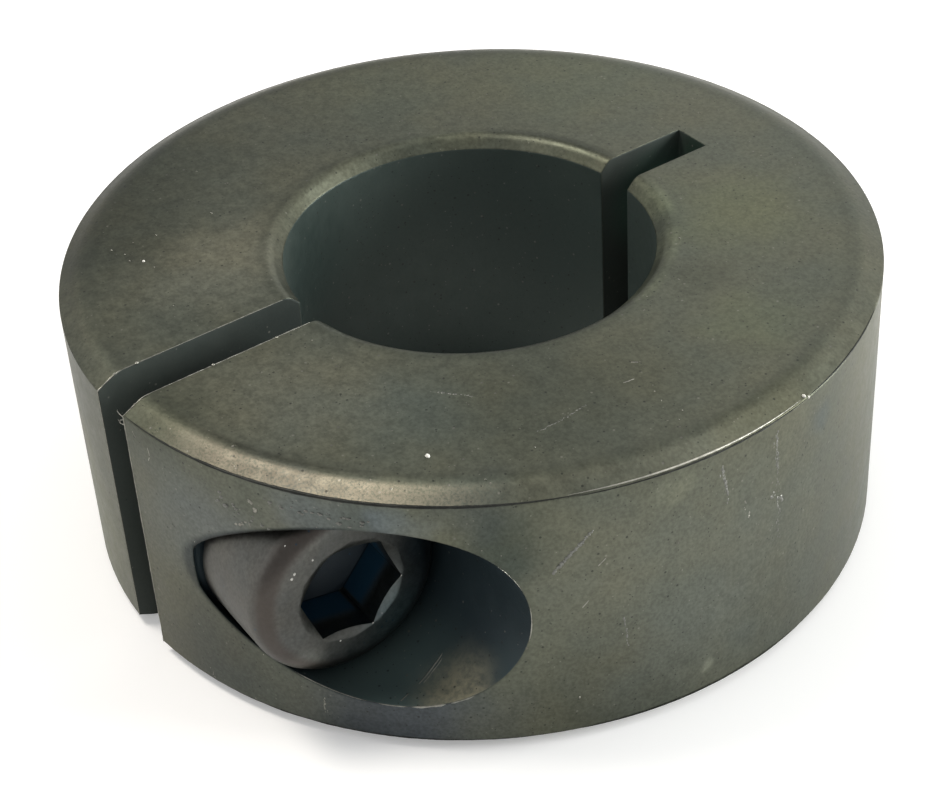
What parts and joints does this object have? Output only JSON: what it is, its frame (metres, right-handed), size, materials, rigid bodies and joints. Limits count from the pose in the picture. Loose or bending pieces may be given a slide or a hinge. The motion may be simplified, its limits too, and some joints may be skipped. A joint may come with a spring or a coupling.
{
  "type": "clamping ring",
  "caption": "Slit steel clamping ring that grips a round shaft, drawn tight by a socket head screw sunk in its rim.",
  "frame": {"origin": "centre of the bore on the ring's bottom face", "axes": "+Z along the bore, the slit towards -Y, the relief slot towards +Y, the screw's head towards +X"},
  "size_m": [0.035, 0.035, 0.013],
  "materials": {
    "ring_steel": "blackened satin steel",
    "screw_steel": "blackened satin steel"
  },
  "bodies": {
    "ring": {"ring": "ring_steel"},
    "screw": {"clamp_screw": "screw_steel"}
  },
  "joints": [
    {"name": "screw_turn", "type": "hinge", "parent": "ring", "child": "screw", "pos_m": [0, -0.01235, 0.0065], "axis": [-0.999, 0.0436, 0], "range_deg": [-270, 90]}
  ]
}
